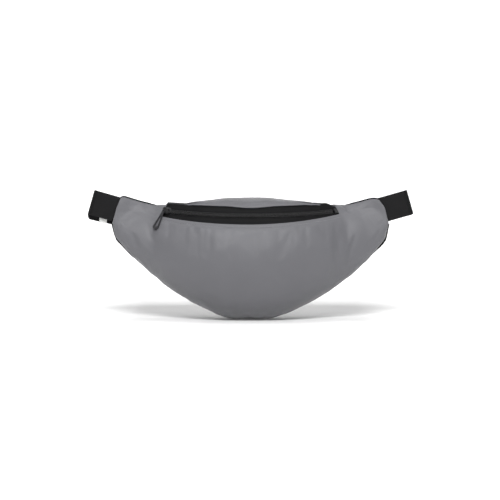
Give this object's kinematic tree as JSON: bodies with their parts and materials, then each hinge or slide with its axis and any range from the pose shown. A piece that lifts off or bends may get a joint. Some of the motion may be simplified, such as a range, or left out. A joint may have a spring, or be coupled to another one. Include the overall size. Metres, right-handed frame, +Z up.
{
  "type": "waist pack",
  "caption": "Stuffed crescent waist bag with a curved zip along its top edge, a hanging slider pull, and a webbing belt closed behind by a side-release buckle.",
  "frame": {"origin": "middle of the bounding box in X and Y, at the height of the surface that the bag stands on", "axes": "+X to the right as the front is looked at, -Y out of the front of the bag, +Z up"},
  "size_m": [0.3886, 0.1091, 0.1545],
  "materials": {
    "shell_fabric": "grey coated fabric with a soft silvery sheen",
    "back_fabric": "black woven backing",
    "binding_tape": "black binding tape",
    "zip_tape": "black twill tape",
    "zip_coil": "black nylon coil",
    "zip_hardware": "black paint, satin",
    "pull_plastic": "dark grey paint, satin",
    "webbing": "black woven webbing",
    "buckle_plastic": "black, fine texture",
    "keeper_elastic": "black elastic",
    "label_fabric": "blank white satin ribbon"
  },
  "bodies": {
    "bag": {"front_panel": "shell_fabric", "back_panel": "back_fabric", "edge_binding": "binding_tape", "zip_tape_lower": "zip_tape", "zip_coil_lower": "zip_coil", "zip_stop_lower": "zip_hardware", "zip_end_stop": "zip_hardware", "strap_left": "webbing", "strap_right": "webbing", "buckle_socket": "buckle_plastic", "buckle_plug": "buckle_plastic", "care_label": "label_fabric"},
    "upper_lip": {"top_panel": "shell_fabric", "zip_tape_upper": "zip_tape", "zip_coil_upper": "zip_coil", "zip_stop_upper": "zip_hardware"},
    "slider": {"slider_body": "zip_hardware", "slider_crown": "zip_hardware"},
    "pull": {"pull_ring": "zip_hardware", "pull_tab": "pull_plastic"},
    "prong_upper": {"buckle_prong_upper": "buckle_plastic"},
    "prong_lower": {"buckle_prong_lower": "buckle_plastic"},
    "keeper": {"strap_keeper": "keeper_elastic"}
  },
  "joints": [
    {"name": "slider_travel", "type": "hinge", "parent": "bag", "child": "slider", "pos_m": [0, 0.17492, 0.15759], "axis": [0, -0.1587, 0.9873], "range_deg": [0, 55]},
    {"name": "mouth_open", "type": "hinge", "parent": "bag", "child": "upper_lip", "pos_m": [0, -0.003, 0.129], "axis": [-1, 0, 0], "range_deg": [0, 60.5], "deforming": ["zip_tape_upper", "zip_coil_upper", "zip_stop_upper", "top_panel"]},
    {"name": "pull_swing", "type": "hinge", "parent": "slider", "child": "pull", "pos_m": [-0.10051, -0.01098, 0.13292], "axis": [-0.8813, 0.4666, 0.075], "range_deg": [0, 160]},
    {"name": "prong_upper_press", "type": "hinge", "parent": "bag", "child": "prong_upper", "pos_m": [0.0049, 0.0495, 0.1315], "axis": [0, -1, 0], "range_deg": [0, 9.5], "stiffness_Nm_per_rad": 0.2},
    {"name": "prong_lower_press", "type": "hinge", "parent": "bag", "child": "prong_lower", "pos_m": [0.0049, 0.0495, 0.1045], "axis": [0, 1, 0], "range_deg": [0, 9.5], "stiffness_Nm_per_rad": 0.2},
    {"name": "keeper_slide", "type": "slide", "parent": "bag", "child": "keeper", "axis": [1, 0, 0], "range_m": [-0.04, 0.008]}
  ],
  "couplings": [
    {"joint": "mouth_open", "follows": "slider_travel", "ratio": 1.0909},
    {"joint": "prong_lower_press", "follows": "prong_upper_press", "ratio": 1}
  ]
}
